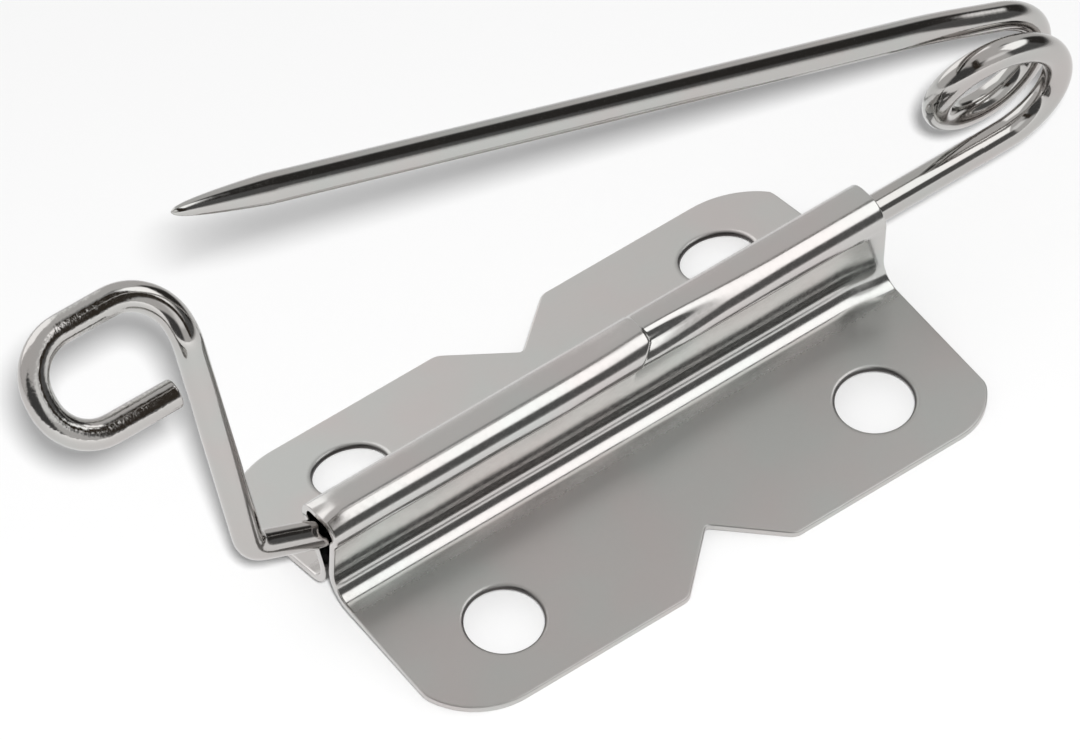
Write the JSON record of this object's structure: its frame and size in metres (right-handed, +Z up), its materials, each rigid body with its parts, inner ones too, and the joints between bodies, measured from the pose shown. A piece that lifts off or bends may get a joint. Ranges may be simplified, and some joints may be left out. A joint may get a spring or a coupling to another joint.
{
  "type": "corsage pin finding",
  "caption": "Blank pin finding: plate folded over bent wire, with an upright catch hook, a spring coil and a pointed pin arm that stands open.",
  "frame": {"origin": "centre of the bounding box in plan, at the outer edges of the wings that the part rests on", "axes": "+X along the ridge from the catch hook to the spring coil, +Y across the wings towards the far one, +Z up"},
  "size_m": [0.0446, 0.0164, 0.0257],
  "materials": {
    "satin_plate": "satin nickel over stamped steel",
    "bright_wire": "bright nickel over drawn spring wire"
  },
  "bodies": {
    "base": {"back_plate": "satin_plate", "back_wire": "bright_wire", "catch_hook": "bright_wire", "spring_coil": "bright_wire"},
    "pin": {"pin_arm": "bright_wire"}
  },
  "joints": [
    {"name": "pin_closing", "type": "hinge", "parent": "base", "child": "pin", "pos_m": [0.01928, 0.00039, 0.007], "axis": [0, -1, 0], "range_deg": [-5, 16.5], "stiffness_Nm_per_rad": 0.5, "deforming": ["spring_coil"]}
  ]
}
